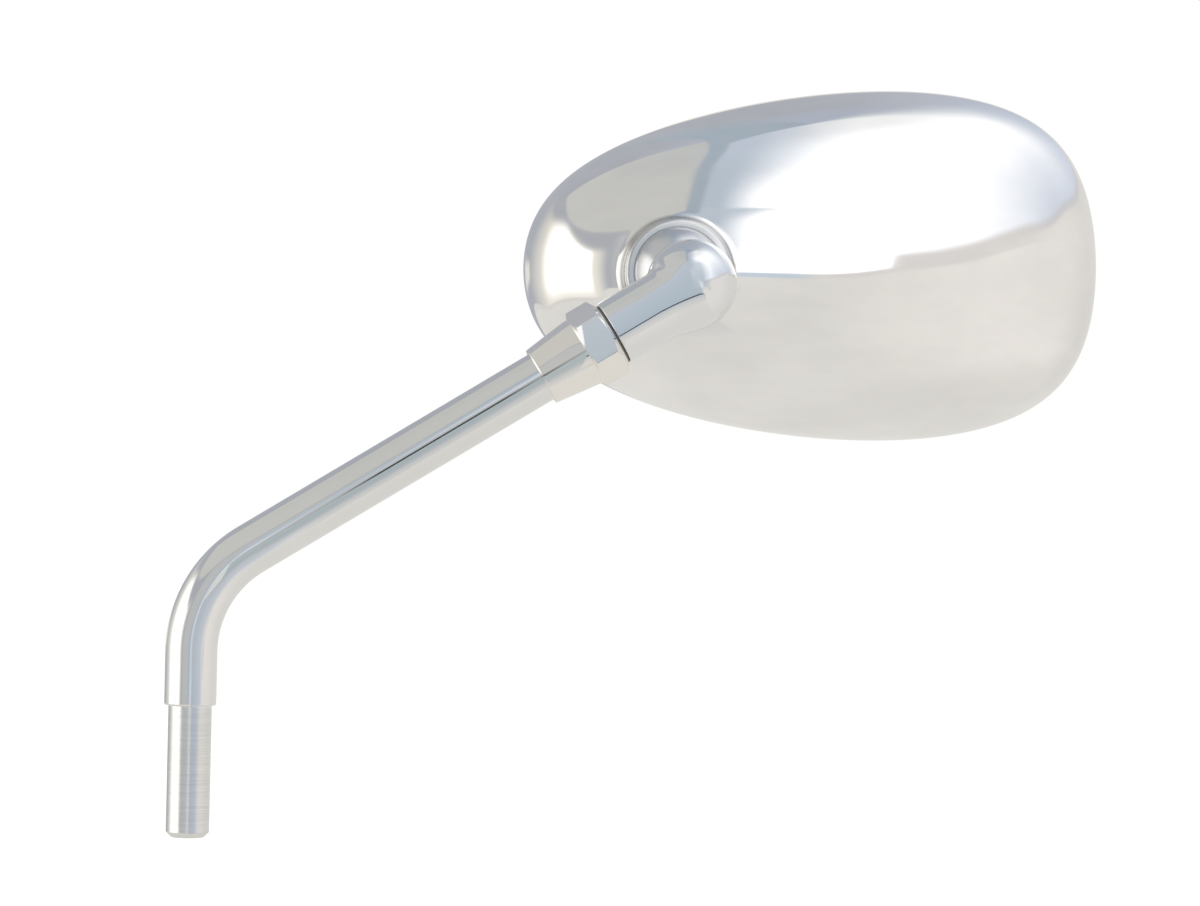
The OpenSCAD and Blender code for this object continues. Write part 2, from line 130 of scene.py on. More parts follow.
# %% Camera
CAMERA_TURN, CAMERA_ROLL, CAMERA_LENS = -3.0, 1.28, 116.73
CAMERA_PLACE = Vector((0.04623, -0.90366, 0.06039))
spin, roll = radians(CAMERA_TURN), radians(CAMERA_ROLL)
level, up = Vector((cos(spin), sin(spin), 0)), Vector((0, 0, 1))
cam_x = level * cos(roll) + up * sin(roll)
cam_y = up * cos(roll) - level * sin(roll)
cam_z = Vector((sin(spin), -cos(spin), 0))
camera_data = bpy.data.cameras.new("camera")
camera_data.sensor_width, camera_data.lens = 36, CAMERA_LENS
camera_data.clip_start, camera_data.clip_end = 0.05, 50
camera = link("camera", camera_data)
camera.matrix_world = Matrix((cam_x, cam_y, cam_z)).transposed().to_4x4()
camera.location = CAMERA_PLACE
scene.camera = camera
scene.view_settings.view_transform = "Standard"

# %% [markdown]
# ## Node trees from Python expressions
# Both materials and Geometry Nodes do sums. A wire stands for one output of a node: adding or
# multiplying wires adds the Math node that does it, so a rule reads as a rule.

# %% Wires and trees
class Wire:
    """One output of a node, with arithmetic."""

    def __init__(self, tree, socket):
        self.tree, self.socket = tree, socket

    def maths(self, operation, *others):
        return self.tree.maths(operation, self, *others)

    def __add__(self, other): return self.maths("ADD", other)
    def __sub__(self, other): return self.maths("SUBTRACT", other)
    def __rsub__(self, other): return self.tree.maths("SUBTRACT", other, self)
    def __mul__(self, other): return self.maths("MULTIPLY", other)
    def __truediv__(self, other): return self.maths("DIVIDE", other)
    def __neg__(self): return self.maths("MULTIPLY", -1.0)
    __radd__, __rmul__ = __add__, __mul__

    def part(self, axis):
        return self.tree.add("ShaderNodeSeparateXYZ", {0: self}, out=axis)


class Tree:
    """A node tree and the one method that adds nodes to it."""

    def __init__(self, tree):
        self.tree = tree

    def add(self, kind, sockets=None, settings=None, out=0):
        node = self.tree.nodes.new(kind)
        for name, value in (settings or {}).items():
            setattr(node, name, value)
        for key, value in (sockets or {}).items():
            if isinstance(value, Wire):
                self.tree.links.new(value.socket, node.inputs[key])
            else:
                node.inputs[key].default_value = value
        return Wire(self, node.outputs[out]) if node.outputs else node

    def maths(self, operation, *terms):
        return self.add("ShaderNodeMath", dict(enumerate(terms)), {"operation": operation})

    def mix(self, share, first, second):
        """Colour that goes from first to second as share goes from 0 to 1."""
        return self.add("ShaderNodeMix", {0: share, 6: first, 7: second}, {"data_type": "RGBA"}, 2)

    def rise(self, value, start, end):
        """0 before start, 1 after end, and a soft step between."""
        return self.add("ShaderNodeMapRange", {0: value, 1: start, 2: end, 3: 0.0, 4: 1.0},
                        {"interpolation_type": "SMOOTHSTEP"})

    def fall(self, value, start, end):
        """1 before start, 0 after end, and a soft step between."""
        return 1 - self.rise(value, start, end)

    def attribute(self, name, out=2):
        return self.add("ShaderNodeAttribute", None, {"attribute_name": name}, out)

    def noise(self, where, scale, detail=2.0, rough=0.5):
        return self.add("ShaderNodeTexNoise",
                        {"Vector": where, "Scale": scale, "Detail": detail, "Roughness": rough})

    def stretched(self, where, scale):
        return self.add("ShaderNodeMapping", {"Vector": where, "Scale": scale})

    def bump(self, height):
        return self.add("ShaderNodeBump", {"Height": height, "Strength": 1.0, "Distance": 1.0})

    def show(self, shader):
        self.add("ShaderNodeOutputMaterial", {0: shader})

    def surface(self, sockets):
        self.show(self.add("ShaderNodeBsdfPrincipled", sockets))


def rgb(r, g, b):
    return (r, g, b, 1.0)


def darker(colour, share):
    """A colour that has lost a share of its light."""
    return rgb(*(c * (1 - share) for c in colour[:3]))


# %% [markdown]
# ## The studio
# Bright metal shows the room. To the right stands a very large white light with a blue streak in
# it, to the left hangs a beige screen with a blue frame, and under it is a small bright window. Below
# lies a pale table, whose far edge is the line that runs across the housing. The room is drawn by
# direction in the world, where it costs no noise. The camera itself sees plain white, and matt
# surfaces are lit by a plain level.

# %% Colours of the room
def srgb(r, g, b):
    """A colour as it should look on the screen, for a mirror that loses a tenth of the light."""
    return rgb(*((c / 255) ** 2.2 / 0.9 for c in (r, g, b)))


WHITE_LIGHT, WINDOW_LIGHT, PLAIN_LEVEL = rgb(1.35, 1.35, 1.36), rgb(1.5, 1.48, 1.42), rgb(*[0.95] * 3)
BLUE_FRAME, GREY_WALL, SIDE_WALL = srgb(159, 171, 182), srgb(168, 171, 178), srgb(188, 196, 210)
CEILING_LEFT, CEILING_BLUE, CEILING_RIGHT = srgb(172, 178, 192), srgb(184, 193, 206), srgb(242, 243, 243)
BEIGE_SCREEN, SCREEN_TOP, SCREEN_SHADE = srgb(195, 195, 191), srgb(186, 188, 187), srgb(168, 171, 176)
PALE_BLUE, STREAK_BLUE, LAVENDER = srgb(180, 191, 203), srgb(186, 196, 206), srgb(201, 209, 222)
TABLE, TABLE_RIGHT, MIDDLE_GREY = srgb(216, 214, 209), srgb(227, 223, 218), srgb(185, 187, 188)
TABLE_EDGE, SIDE_EDGE, EDGE_BLUE = srgb(211, 208, 205), srgb(203, 202, 205), srgb(190, 202, 214)
CREAM = srgb(228, 224, 214)

# %% Directions in the room
world = bpy.data.worlds.new("studio")
scene.world = world
world.use_nodes = True
world.node_tree.nodes.clear()
w = Tree(world.node_tree)
direction = w.add("ShaderNodeTexCoord")
dx, dy, dz = (direction.part(axis) for axis in range(3))

# Azimuth and elevation in degrees. The camera stands near azimuth 0.
az, el = dx.maths("ARCTAN2", -dy) * (180 / pi), dz.maths("ARCSINE") * (180 / pi)


def between(value, low, high, soft):
    """1 from low to high, with a soft step at each end."""
    return w.rise(value, low - soft, low + soft) * w.fall(value, high - soft, high + soft)


front, high = w.rise(az, -172, -150), w.rise(el, 60, 80)

# %% The left of the room: grey wall, beige screen and its blue frame
SCREEN_SPAN, SCREEN_FOOT, SCREEN_SLANT, FOOT_SOFT = (-120, -42), 39.0, 15.5, 1.2
SCREEN_SIDE, SIDE_LEAN, LEAN_FROM = (-0.248, -0.238), 0.035, (56, 80)
screen_foot = SCREEN_FOOT - w.rise(az, *SCREEN_SPAN) * SCREEN_SLANT
screen_back = dy + dx * 0.8 + dz * 0.09
screen_side = w.rise(dx - w.rise(el, *LEAN_FROM) * SIDE_LEAN, *SCREEN_SIDE)
screen = (1 - screen_side) * w.fall(screen_back, -0.008, 0.008)
screen *= w.rise(el, screen_foot - FOOT_SOFT, screen_foot + FOOT_SOFT)
room = w.mix(w.rise(dx, 0.0, 0.45), GREY_WALL, SIDE_WALL)
room = w.mix(between(az, -135, -20, 12), room, SCREEN_SHADE)
room = w.mix(high, room, CEILING_LEFT)
room = w.mix(screen, room, w.mix(w.rise(el, 50, 75), BEIGE_SCREEN, SCREEN_TOP))
room = w.mix(screen_side * front * w.fall(az, 100, 160), room, BLUE_FRAME)
room = w.mix(between(az, -36, -8, 3) * w.fall(el, 18, 26), room, MIDDLE_GREY)

# %% The great light on the right, and the streak in it
LIGHT_SIDE, LIGHT_LEAN, STREAK_END, STREAK_PALER = (-0.20, -0.19), 0.03, (4, 9), 0.72
light = w.mix(w.rise(dx, -0.15, w.rise(el, 34, 62) * 0.15 + 0.02), PALE_BLUE, WHITE_LIGHT)
light = w.mix(high, light, w.mix(w.rise(dx, -0.12, 0.12), CEILING_BLUE, CEILING_RIGHT))
streak_top, streak_foot = 28 - az * 0.35, 23.5 + az * 0.55
streak = w.rise(el, streak_foot, streak_top) * w.fall(el, streak_top - 0.3, streak_top + 0.3)
streak *= (1 - w.rise(az, -5, 5) * STREAK_PALER) * w.fall(az, *STREAK_END)
light = w.mix(streak, light, STREAK_BLUE)
light_side = w.rise(dx - w.rise(el, *LEAN_FROM) * LIGHT_LEAN, *LIGHT_SIDE)
light_side *= w.rise(el + az * 1.5, -12, -4)
room = w.mix(light_side * front * w.fall(az, 90, 160), room, light)
haze = between(az, 48, 150, 30) * w.fall(el, 12, 75)
room = w.mix(haze * 0.95, room, LAVENDER)

# %% The window on the left, with a cream glow round it
WINDOW_TOP, WINDOW_SLANT, WINDOW_SOFT = 27, 17, 8
window_top = WINDOW_TOP - w.rise(az, -88, -44) * WINDOW_SLANT
window_soft = WINDOW_SOFT - w.rise(az, -100, -65) * 6
window = w.rise(az, -116, -90) * w.fall(az, -51, -47) * w.rise(el, -24, -9)
window *= w.fall(el, window_top - window_soft, window_top + window_soft)
glow_side = w.rise(az, -152, -98) * w.fall(az, -47, -38)
room = w.mix(glow_side * w.fall(el, window_top - 2, window_top + 5), room, CREAM)
far_glow = between(az, -164, -144, 4) * between(el, -2, 3.5, 1.5)
room = w.mix(far_glow * 0.9, room, CREAM)
room = w.mix(window, room, WINDOW_LIGHT)

# %% The table, whose far edge climbs in steps on both sides
EDGE_HEIGHT, TABLE_STEP = -2.2, (20.2, 20.8)
EDGE_RISES = [(9, 24, 2.8), (14, 60, 10), (56, 90, 5.5), (*TABLE_STEP, 4.2)]
EDGE_FALLS = [(-12, -2, -12), (-50, -38, -7.5), (-155, -105, 13)]
edge_at = EDGE_HEIGHT + sum(w.rise(az, start, end) * height for start, end, height in EDGE_RISES)
edge_at += sum(w.fall(az, start, end) * height for start, end, height in EDGE_FALLS)
below = el - edge_at
right_part = w.rise(az, 10, 40) * w.fall(az, 70, 120) * w.rise(el, -60, -25)
table = w.mix(right_part, TABLE, TABLE_RIGHT)
edge_depth = -1.6 - w.rise(az, *TABLE_STEP) * 4
side_band = between(below, -2.5, 1.0, 0.8)
near_edge = w.rise(below, edge_depth - 0.5, edge_depth + 0.5) * w.rise(az, 7, 12) * w.fall(az, 30, 75)
near_edge += side_band * (w.rise(az, 40, 75) + w.fall(az, -60, -45))
table = w.mix(near_edge, table, w.mix(w.rise(az, 45, 80), TABLE_EDGE, SIDE_EDGE))
table = w.mix(between(below, -2.0, 1.0, 0.5) * between(az, -8, 8, 3), table, EDGE_BLUE)
edge_soft = w.rise(az, 16, 30) * 1.2 + 0.4
room = w.mix(w.rise(below / edge_soft, -1.0, 1.0), table, room)

# %% What each kind of ray sees of the room
is_glossy, is_camera = (w.add("ShaderNodeLightPath", out=f"Is {ray} Ray") for ray in ("Glossy", "Camera"))
seen = w.mix(is_camera, w.mix(is_glossy, PLAIN_LEVEL, room), rgb(1, 1, 1))
w.add("ShaderNodeOutputWorld", {0: w.add("ShaderNodeBackground", {0: seen, 1: 1.0})})

# %% [markdown]
# The floor is a pale table far enough below for the mirror to hang free. It takes a soft shadow
# from a wide lamp overhead.

# %% Floor and lamp
FLOOR_Z, FLOOR_SIZE, FLOOR_GRAIN, FLOOR_LIFT = -0.12, 12.0, 9.0, 0.24
LAMP_PLACE, LAMP_TILT, LAMP_POWER, LAMP_SIZE = (0.2, -0.5, 1.8), 15, 9.0, 1.6


def new_material(name):
    material = bpy.data.materials.new(name)
    material.use_nodes = True
    material.node_tree.nodes.clear()
    return material, Tree(material.node_tree)


floor_material, t = new_material("pale table")
grain = t.noise(t.add("ShaderNodeTexCoord", out=3), FLOOR_GRAIN)
matt = t.add("ShaderNodeBsdfDiffuse", {0: t.mix(grain, rgb(0.80, 0.80, 0.79), rgb(0.84, 0.84, 0.83))})
lift = t.add("ShaderNodeEmission", {0: rgb(*[FLOOR_LIFT] * 3), 1: 1.0})
t.show(t.add("ShaderNodeAddShader", {0: matt, 1: lift}))
floor_mesh = bpy.data.meshes.new("floor")
half = FLOOR_SIZE / 2
corners = [(-half, -half, FLOOR_Z), (half, -half, FLOOR_Z), (half, half, FLOOR_Z), (-half, half, FLOOR_Z)]
floor_mesh.from_pydata(corners, [], [(0, 1, 2, 3)])
dress(floor_mesh, floor_material)
floor = link("floor", floor_mesh)
floor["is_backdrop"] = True

lamp_data = bpy.data.lights.new("wide lamp", "AREA")
lamp_data.energy, lamp_data.size = LAMP_POWER, LAMP_SIZE
lamp = link("wide lamp", lamp_data)
lamp.location, lamp.rotation_euler = LAMP_PLACE, (radians(LAMP_TILT), 0, 0)
floor.visible_glossy = lamp.visible_glossy = False

# %% [markdown]
# Photographers set small cards close to bright metal, to draw a line along it or to hide a light from one
# part. Three such cards stand before the arm, the elbow and the foot. They glow with their own colours and
# only reflections show them, so the lines and tones that they lay on the metal are painted reflections.
# Each is a net of points, with a colour and a solidity at every point.

# %% Cards, whose glow paints reflections
reflection_card_material, t = new_material("card")
glow, solid = t.attribute("glow", out=0), t.attribute("glow", out=3)
shining = t.add("ShaderNodeEmission", {0: glow, 1: 1.0})
t.show(t.add("ShaderNodeMixShader", {0: solid, 1: t.add("ShaderNodeBsdfTransparent"), 2: shining}))


def card(name, rows, colours):
    """A glowing card from rows of points in millimetres, and the colour of each, which shows only in
    reflections as a painted reflection.
    """
    wide = len(rows[0])
    mesh = bpy.data.meshes.new(name)
    faces = [(i * wide + j, i * wide + j + 1, (i + 1) * wide + j + 1, (i + 1) * wide + j)
             for i in range(len(rows) - 1) for j in range(wide - 1)]
    mesh.from_pydata([Vector(p) * MM for row in rows for p in row], [], faces)
    paint = mesh.color_attributes.new("glow", "FLOAT_COLOR", "POINT")
    paint.data.foreach_set("color", [v for row in colours for c in row for v in c])
    dress(mesh, reflection_card_material)
    shown = link(name, mesh)
    for ray_kind in ("camera", "diffuse", "transmission", "volume_scatter", "shadow"):
        setattr(shown, "visible_" + ray_kind, False)
    shown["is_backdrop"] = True


def blend(a, b, share):
    return tuple(p + (q - p) * share for p, q in zip(a, b))


# %% The card along the arm: a painted reflection of a dark line, and pale blue below it
# Bands lie across the card, in millimetres down from the rod. None stands for the painted dark line. Stops
# lie along it, each with the share of darkness that the line has there.
slope = radians(ARM_SLOPE)
ARM_CARD_Y, NARROW_END = -36.0, 0.1
arm_reflection_bands = [(-6.0, (187, 189, 190)), (-1.6, (185, 186, 186)), (-1.0, None), (2.4, None),
             (3.1, (174, 186, 189)), (9.0, (168, 179, 182)), (17.0, (180, 185, 188)),
             (23.0, (196, 197, 198)), (32.0, (204, 204, 202)), (46.0, (212, 211, 207))]
arm_reflection_stops = [(8, 0.0), (38, 0.15), (50, 0.95), (84, 1.0), (95, 0.3), (116, 0.12)]
PAINTED_PALE_LINE, PAINTED_DARK_LINE = srgb(180, 183, 185), srgb(48, 52, 56)
rows, colours = [], []
for v, colour in arm_reflection_bands:
    first_v = v if v > 0 else v * NARROW_END
    places = [(u, first_v if u == arm_reflection_stops[0][0] else v) for u, _ in arm_reflection_stops]
    rows.append([(u * cos(slope) + v * sin(slope), ARM_CARD_Y,
                  CORNER_H + u * sin(slope) - v * cos(slope)) for u, v in places])
    colours.append([srgb(*colour) if colour else blend(PAINTED_PALE_LINE, PAINTED_DARK_LINE, dark)
                    for _, dark in arm_reflection_stops])
card("arm card", rows, colours)

# %% The card before the elbow: a painted reflection, blue-grey, with a dark lower edge
# Each row lies at a share of the way from the foot line to the head line, or a little above or below it;
# the rows below the foot line paint a faint shade under the dark edge. The last three numbers say how
# solid the card is at its three outer points.
ELBOW_CARD_Y = -14.5
foot_line = [(90, 80), (97.5, 84.7), (108, 91.3), (112, 92.9), (120, 95.6), (126, 97.4)]
head_line = [(86, 102), (90, 105), (103, 114.6), (109, 120.5), (118, 123.5), (126, 119)]
elbow_reflection_rows = [(0, -7.0, (217, 215, 211), (1, 1, 1)), (0, -3.0, (208, 208, 206), (1, 1, 1)),
              (0, -0.05, (192, 196, 199), (1, 1, 1)), (0, 0, (78, 88, 96), (1, 1, 0)),
              (0, 0.75, (72, 82, 92), (1, 1, 0)), (0, 0.95, (176, 187, 197), (1, 0.95, 0)),
              (0.3, 0, (180, 191, 201), (1, 0.9, 0)), (0.7, 0, (187, 195, 205), (1, 0.75, 0)),
              (0.92, 0, (191, 197, 203), (0.8, 0.2, 0)), (1, 0, (174, 178, 182), (0.5, 0, 0))]
rows, colours = [], []
for share, lift, colour, outer in elbow_reflection_rows:
    line = [blend(foot, head, share) for foot, head in zip(foot_line, head_line)]
    rows.append([(x, ELBOW_CARD_Y, z + lift) for x, z in line])
    colours.append([(*srgb(*colour)[:3], solidity) for solidity in (1, 1, 1, *outer)])
card("elbow card", rows, colours)

# %% The card before the foot: a painted reflection in blue-grey
foot_reflection_bands = [(3.4, (182, 186, 191)), (9.0, (179, 187, 197)), (19.0, (185, 193, 205)),
              (30.0, (190, 197, 207)), (37.0, (209, 213, 218)), (44.0, (216, 216, 214))]
FOOT_CARD_Z = (-60, 22)
card("foot card", [[(x, ARM_CARD_Y, z) for x, _ in foot_reflection_bands] for z in FOOT_CARD_Z],
     [[srgb(*colour) for _, colour in foot_reflection_bands]] * 2)

# %% [markdown]
# ## Finishes
# Polished metal is never quite perfect: fingers and cloths leave faint patches that blur and dull
# the reflection a little, and hand polishing leaves the surface softly uneven. Each finish takes
# these from noise on Object coordinates, which here are metres in the shared frame.

# %% Bright metals
PATCHES, CLOUDS, GRAIN, WAVES = 38.0, (16.0, 30.0, 42.0), 900.0, 60.0
TURNED_LINES, TURNED_DEPTH, TURNED_ROUGH = (90.0, 90.0, 3200.0), 0.000006, 0.15
LATHE_LINES, LATHE_STREAKS, LATHE_ROUGH = 2.2, 210.0, 0.26


def bright_metal(name, colour, rough, patch=0.05, wave=0.0, cloud=0.03, turned_below=None, turned_and_shaded_by=None):
    """Metal with faint clouds and, below a height or by an attribute, the fine lines of a lathe in a
    darker tone, which by the attribute is partly painted shade.
    """
    material, t = new_material(name)
    where = t.add("ShaderNodeTexCoord", out=3)
    patches = t.rise(t.noise(where, PATCHES, 3.0, 0.55), 0.42, 0.68)
    clouds = t.rise(t.noise(t.stretched(where, CLOUDS), 1.0, 4.0, 0.6), 0.38, 0.66)
    base = t.mix(clouds, t.mix(patches, rgb(*colour), darker(colour, cloud)), darker(colour, 2 * cloud))
    roughness = patches * patch + t.noise(where, GRAIN) * 0.02 + (rough - 0.01)
    height = t.noise(where, WAVES, 1.0) * wave
    if turned_below is not None:
        turned_part = t.fall(where.part(2), turned_below - 0.0002, turned_below)
        lines = t.noise(t.stretched(where, TURNED_LINES), 1.0)
        height += lines * turned_part * TURNED_DEPTH
        roughness += turned_part * TURNED_ROUGH
        base = t.mix(turned_part * (t.rise(lines, 0.32, 0.68) * 0.4 + 0.3), base, darker(colour, 0.18))
    if turned_and_shaded_by is not None:
        # The attribute's darker tone is painted shade on the boss's mouth, lip and hollow flare, on top of
        # the lathe lines.
        turned_part = t.attribute(turned_and_shaded_by)
        across = t.add("ShaderNodeCombineXYZ", {0: t.attribute(turned_and_shaded_by + " line") * LATHE_LINES})
        lines = t.noise(across, 1.0, 3.0) * 0.7 + t.noise(where, LATHE_STREAKS) * 0.3
        roughness += turned_part * LATHE_ROUGH
        base = t.mix(turned_part * (t.rise(lines, 0.4, 0.6) * 0.35 + 0.65), base, darker(colour, 0.5))
    t.surface({"Base Color": base, "Roughness": roughness, "Normal": t.bump(height), "Metallic": 1.0})
    return material


PEG_SHOULDER = -0.0003
chrome_rod = bright_metal("polished rod", (0.86, 0.86, 0.86), 0.06, 0.04, 0.00002, 0.015, PEG_SHOULDER)
chrome_nut = bright_metal("polished nut", (0.93, 0.91, 0.88), 0.06, cloud=0.015)
chrome_elbow = bright_metal("polished elbow", (0.85, 0.86, 0.87), 0.045, wave=0.00003, cloud=0.015)
aluminium = bright_metal("polished housing", (0.94, 0.933, 0.929), 0.03, 0.06, 0.00003, 0.042,
                         turned_and_shaded_by="lathe")
ball_steel = bright_metal("turned ball", (0.70, 0.71, 0.73), 0.24, 0.08)
zinc_steel = bright_metal("zinc plating", (0.72, 0.70, 0.62), 0.35, 0.08)
spring_steel = bright_metal("spring steel", (0.45, 0.45, 0.47), 0.3, 0.08)

# %% Plastics, rubber and foam
def matt_stuff(name, colour, rough, grain_scale, grain_height):
    material, t = new_material(name)
    where = t.add("ShaderNodeTexCoord", out=3)
    tone = t.noise(where, 45.0, 3.0)
    grain = t.noise(where, grain_scale, 3.0) * grain_height
    t.surface({"Base Color": t.mix(tone, darker(colour, 0.12), rgb(*colour)),
               "Roughness": tone * 0.15 + (rough - 0.07), "Normal": t.bump(grain)})
    return material


rubber = matt_stuff("gasket rubber", (0.035, 0.035, 0.038), 0.55, 1500.0, 0.00002)
# The washer is dark grey, so the thin gap between the nut and the elbow shows as a dark line.
dark_steel = matt_stuff("dark grey washer", (0.12, 0.11, 0.10), 0.5, 900.0, 0.00001)
nylon = matt_stuff("nylon", (0.80, 0.79, 0.74), 0.5, 600.0, 0.00002)
carrier_plastic = matt_stuff("carrier plastic", (0.06, 0.06, 0.065), 0.55, 700.0, 0.00003)
foam_stuff = matt_stuff("foam", (0.16, 0.16, 0.17), 0.95, 1800.0, 0.0002)

# %% [markdown]
# The glass is silvered on its back, so the mirror shows through 2 mm of glass. A metallic base with
# the faint green-blue of float glass, under a clear coat, stands for both layers.

# %% Mirror glass
silvered, t = new_material("silvered glass")
film = t.rise(t.noise(t.add("ShaderNodeTexCoord", out=3), 25.0, 3.0), 0.45, 0.75)
t.surface({"Base Color": t.mix(film, rgb(0.80, 0.84, 0.85), rgb(0.77, 0.81, 0.82)), "Metallic": 1.0,
           "Roughness": film * 0.02 + 0.008, "Coat Weight": 1.0, "Coat Roughness": 0.01})

# %% [markdown]
# ## Tools for meshes
# Most pieces are turned on a lathe, so one helper turns a profile about the z axis. Real edges are
# never sharp: another helper puts an arc in each corner of a profile, and a pair of close rings
# beside the arc keeps the flats flat, because chrome shows every bent normal.

# %% Profiles and lathe work
def arc(centre, radius, start, end, count):
    """Points of a circle from one angle to another, in radians."""
    return [(centre[0] + radius * cos(a), centre[1] + radius * sin(a))
            for a in np.linspace(start, end, count)]


def run_length(line):
    """Distance along a line of points, at each of them."""
    return np.concatenate([[0], np.cumsum(np.linalg.norm(np.diff(line, axis=0), axis=1))])


def spread(line, shares, short=0.0):
    """Points at shares of the way along a line that stops short of its end."""
    gone = run_length(line)
    want = shares * (gone[-1] - short)
    return np.stack([np.interp(want, gone, line[:, axis]) for axis in (0, 1)], 1)


def rounded(corners, steps=5, hold=0.12):
    """Corners (radius, height, rounding) as a finer profile with arcs in its corners."""
    made = [tuple(corners[0][:2])]
    for before, corner, after in zip(corners, corners[1:], corners[2:]):
        p = np.array(corner[:2], float)
        r = corner[2] if len(corner) > 2 else 0
        if r == 0:
            made.append(tuple(p))
            continue
        u, v = np.array(before[:2]) - p, np.array(after[:2]) - p
        u, v = u / np.linalg.norm(u), v / np.linalg.norm(v)
        half_angle = acos(np.clip(u @ v, -1, 1)) / 2
        reach = r / tan(half_angle)
        middle = p + (u + v) / np.linalg.norm(u + v) * r / sin(half_angle)
        first, last = p + u * reach - middle, p + v * reach - middle
        made.append(tuple(p + u * (reach + hold)))
        swing = pi - 2 * half_angle
        for i in range(steps + 1):
            a = swing * i / steps
            made.append(tuple(middle + (sin(swing - a) * first + sin(a) * last) / sin(swing)))
        made.append(tuple(p + v * (reach + hold)))
    made.append(tuple(corners[-1][:2]))
    return made


def rings_to_mesh(rings, closed=False, caps=True):
    """Points and faces of rings of points, each ring a list of the same length."""
    count = max(len(r) for r in rings)
    points, index = [], []
    for ring in rings:
        start = len(points)
        points += [tuple(p) for p in ring]
        index.append([start] * count if len(ring) == 1 else [start + i for i in range(count)])
    pairs = list(zip(index, index[1:])) + ([(index[-1], index[0])] if closed else [])
    faces = []
    for a, b in pairs:
        for i in range(count):
            j = (i + 1) % count
            face = list(dict.fromkeys((a[i], a[j], b[j], b[i])))
            if len(face) > 2:
                faces.append(face)
    if caps and not closed:
        faces += [ring for ring in (index[0][::-1], index[-1]) if len(set(ring)) > 2]
    return points, faces


def turned(profile, sides):
    """Rings of a profile turned about z."""
    angles = [2 * pi * i / sides for i in range(sides)]
    return [[(0, 0, z)] if r < 1e-6 else [(r * cos(a), r * sin(a), z) for a in angles]
            for r, z in profile]


def add_piece(name, points, faces, place, material, body, slot, nodes=(), sharp=28.0):
    """A mesh from a piece's own millimetres, put in its place with its faces outwards."""
    mesh = bpy.data.meshes.new(name)
    mesh.from_pydata([place @ Vector(p) for p in points], [], faces)
    return finish_piece(name, mesh, material, body, nodes, sharp)


def finish_piece(name, mesh, material, body, nodes=(), sharp=28.0):
    bm = bmesh.new()
    bm.from_mesh(mesh)
    bmesh.ops.remove_doubles(bm, verts=bm.verts, dist=1e-7)
    bmesh.ops.recalc_face_normals(bm, faces=bm.faces)
    bm.to_mesh(mesh)
    open_edges = sum(1 for e in bm.edges if len(e.link_faces) != 2)
    bm.free()
    mesh.polygons.foreach_set("use_smooth", [True] * len(mesh.polygons))
    mesh.set_sharp_from_angle(angle=radians(sharp))
    dress(mesh, material)
    piece = link(name, mesh)
    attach(piece, body)
    if nodes:
        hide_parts(*nodes)
    print(f"{name}: {len(mesh.polygons)} faces, {open_edges} open edges")
    return piece


def turned_piece(name, profile, sides, place, material, body, slot, nodes=()):
    return add_piece(name, *rings_to_mesh(turned(profile, sides)), place, material, body, slot, nodes)


# %% [markdown]
# ## Geometry Nodes helper
# A tree is built in the script, its named inputs are set by their identifiers, and the result is read back
# as a plain mesh, which needs no modifier.

# %% Geometry Nodes helper
def grow(name, base_mesh, tree, values):
    """The mesh that a Geometry Nodes tree makes from a base mesh."""
    holder = link(name + " base", base_mesh)
    modifier = holder.modifiers.new("grow", "NODES")
    modifier.node_group = tree
    for item in tree.interface.items_tree:
        if item.in_out == "INPUT" and item.name in values:
            modifier[item.identifier] = values[item.name]
    depsgraph = bpy.context.evaluated_depsgraph_get()
    mesh = bpy.data.meshes.new_from_object(holder.evaluated_get(depsgraph))
    holder.modifiers.remove(modifier)
    bpy.data.objects.remove(holder)
    mesh.name = name
    return mesh


def geometry_tree(name, inputs):
    """An empty tree with a geometry input, the named inputs, a finish and a geometry output."""
    tree = bpy.data.node_groups.new(name, "GeometryNodeTree")
    for label, kind, *value in [("Geometry", "Geometry"), *inputs, ("Finish", "Material")]:
        socket = tree.interface.new_socket(label, in_out="INPUT", socket_type="NodeSocket" + kind)
        if value:
            socket.default_value = value[0]
    tree.interface.new_socket("Geometry", in_out="OUTPUT", socket_type="NodeSocketGeometry")
    g = Tree(tree)
    start = tree.nodes.new("NodeGroupInput")
    return tree, g, {s.name: Wire(g, s) for s in start.outputs if s.name}


def end_tree(g, shape, finish):
    """Makes the shape real, gives it its finish and hands it out."""
    real = g.add("GeometryNodeRealizeInstances", {0: shape})
    done = g.add("GeometryNodeSetMaterial", {"Geometry": real, "Material": finish})
    g.add("NodeGroupOutput", {0: done})


# %% [markdown]
# ## The stem
# One rod makes the whole stem: turned down to the peg at its foot, bent once, and threaded at its
# top. It follows a path, so a Geometry Nodes tree sweeps a circle along it. Each point of the path
# carries the rod's radius there, which gives the peg, the shoulder and the chamfers.

# %% The path of the rod
BEND_TURN = 90 - ARM_SLOPE
BEND_REACH = BEND_R * tan(radians(BEND_TURN / 2))
STRAIGHT_L, BEND_L = CORNER_H - BEND_REACH, BEND_R * radians(BEND_TURN)
ARM_START = STRAIGHT_L + BEND_L - BEND_REACH
NUT_L = NUT_SKIRT_L + NUT_HEX_L
ROD_PLAY, THREAD_PLAY, THREAD_CHAMFER, STATION_STEP = 0.5, 1, 0.8, 1.0
ROD_END = ARM_L - WASHER_T - NUT_THREAD_L - NUT_TRAVEL - ROD_PLAY
THREAD_END = ARM_L + LEG_HOLE_L - THREAD_PLAY
TIP = ARM_START + THREAD_END
CORE_R = THREAD_R - THREAD_DEPTH


def rod_point(s):
    """Point of the rod's centre line at a distance s from the shoulder."""
    if s <= STRAIGHT_L:
        return Vector((0, 0, s))
    if s <= STRAIGHT_L + BEND_L:
        a = (s - STRAIGHT_L) / BEND_R
        return Vector((BEND_R - BEND_R * cos(a), 0, STRAIGHT_L + BEND_R * sin(a)))
    out = s - ARM_START
    return Vector((out * cos(slope), 0, CORNER_H + out * sin(slope)))


